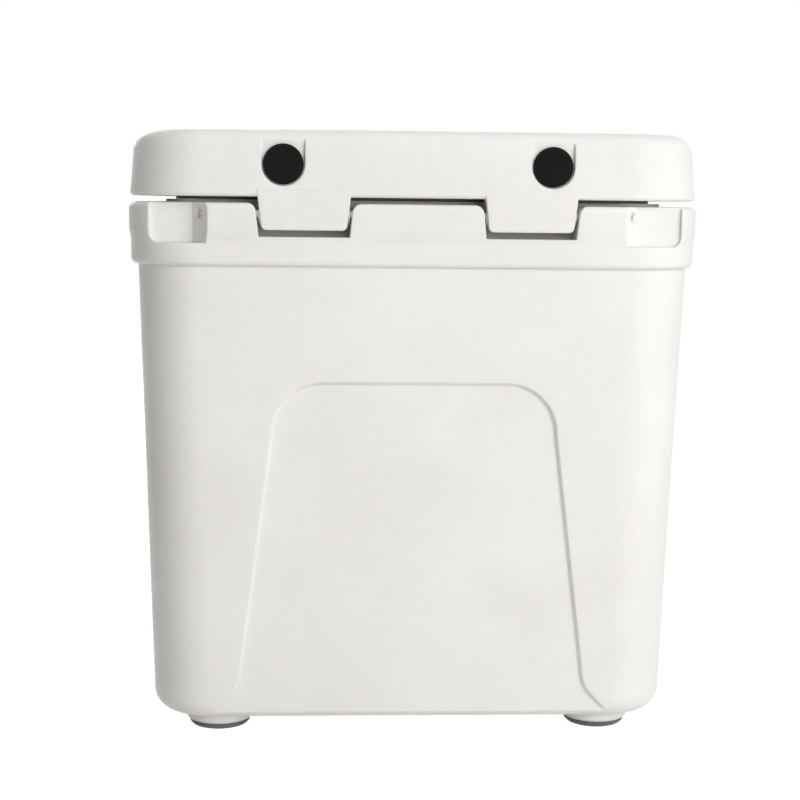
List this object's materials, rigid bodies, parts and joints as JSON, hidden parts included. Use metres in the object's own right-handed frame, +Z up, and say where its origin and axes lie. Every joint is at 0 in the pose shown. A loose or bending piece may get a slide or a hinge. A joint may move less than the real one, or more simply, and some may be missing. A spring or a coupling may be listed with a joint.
{
  "type": "wheeled hard cooler",
  "caption": "White insulated chest cooler with a hinged lid, telescopic pull handle, two wheels, two rubber feet, strap latches and a drain plug.",
  "frame": {"origin": "centre of the footprint, on the floor", "axes": "+Z up, X along the hinge, -Y the hinge side, +Y the side with handle, wheels and latches"},
  "size_m": [0.482, 0.4586, 0.5145],
  "materials": {
    "white_shell": "satin",
    "insulation": "matte",
    "black_plastic": "satin",
    "bearing_plastic": "satin",
    "tyre": "matte",
    "rubber": "matte",
    "aluminium": "satin",
    "steel": "satin"
  },
  "bodies": {
    "cooler": {"body_shell": "white_shell", "body_foam": "insulation", "body_fill_plugs": "black_plastic", "hinge_pin_left": "steel", "hinge_pin_right": "steel", "handle_outer_tubes": "aluminium", "handle_bezel": "black_plastic", "handle_foot_bracket": "black_plastic", "handle_screws": "steel", "axle": "steel", "axle_sleeve": "steel", "axle_washers": "steel", "axle_cap_left": "black_plastic", "axle_cap_right": "black_plastic", "foot_left": "rubber", "foot_right": "rubber", "foot_screws": "steel", "drain_seal": "rubber"},
    "lid": {"lid_shell": "white_shell", "lid_foam": "insulation", "lid_gasket": "rubber", "lid_plug_left": "black_plastic", "lid_plug_right": "black_plastic", "hinge_bushings_left": "bearing_plastic", "hinge_bushings_right": "bearing_plastic", "latch_pin_left": "steel", "latch_pin_right": "steel"},
    "latch_left": {"latch_strap_left": "rubber"},
    "latch_right": {"latch_strap_right": "rubber"},
    "wheel_left": {"wheel_rim_left": "black_plastic", "tyre_left": "tyre", "wheel_bushings_left": "bearing_plastic"},
    "wheel_right": {"wheel_rim_right": "black_plastic", "tyre_right": "tyre", "wheel_bushings_right": "bearing_plastic"},
    "handle_middle": {"handle_middle_tubes": "aluminium", "handle_collars": "black_plastic"},
    "handle_top": {"handle_inner_tubes": "aluminium", "grip": "black_plastic", "release_spring": "steel"},
    "release": {"release_button": "black_plastic", "push_rods": "aluminium"},
    "drain": {"drain_plug": "black_plastic"}
  },
  "joints": [
    {"name": "lid_hinge", "type": "hinge", "parent": "cooler", "child": "lid", "pos_m": [0, -0.218, 0.4455], "axis": [1, 0, 0], "range_deg": [0, 95]},
    {"name": "latch_left_pivot", "type": "hinge", "parent": "lid", "child": "latch_left", "pos_m": [-0.148, 0.203, 0.4835], "axis": [1, 0, 0], "range_deg": [-12, 100]},
    {"name": "wheel_left_spin", "type": "hinge", "parent": "cooler", "child": "wheel_left", "pos_m": [-0.204, 0.128, 0.08], "axis": [1, 0, 0], "continuous": true},
    {"name": "latch_right_pivot", "type": "hinge", "parent": "lid", "child": "latch_right", "pos_m": [0.148, 0.203, 0.4835], "axis": [1, 0, 0], "range_deg": [-12, 100]},
    {"name": "wheel_right_spin", "type": "hinge", "parent": "cooler", "child": "wheel_right", "pos_m": [0.204, 0.128, 0.08], "axis": [1, 0, 0], "continuous": true},
    {"name": "handle_lower_slide", "type": "slide", "parent": "cooler", "child": "handle_middle", "axis": [0, 0, 1], "range_m": [0, 0.26]},
    {"name": "handle_upper_slide", "type": "slide", "parent": "handle_middle", "child": "handle_top", "axis": [0, 0, 1], "range_m": [0, 0.26]},
    {"name": "release_press", "type": "slide", "parent": "handle_top", "child": "release", "axis": [0, 0, -1], "range_m": [0, 0.005], "stiffness_N_per_m": 600, "springref_m": -0.005, "deforming": ["release_spring"]},
    {"name": "drain_plug_turn", "type": "hinge", "parent": "cooler", "child": "drain", "pos_m": [0.215, -0.109, 0.073], "axis": [1, 0, 0], "range_deg": [0, 270]}
  ]
}
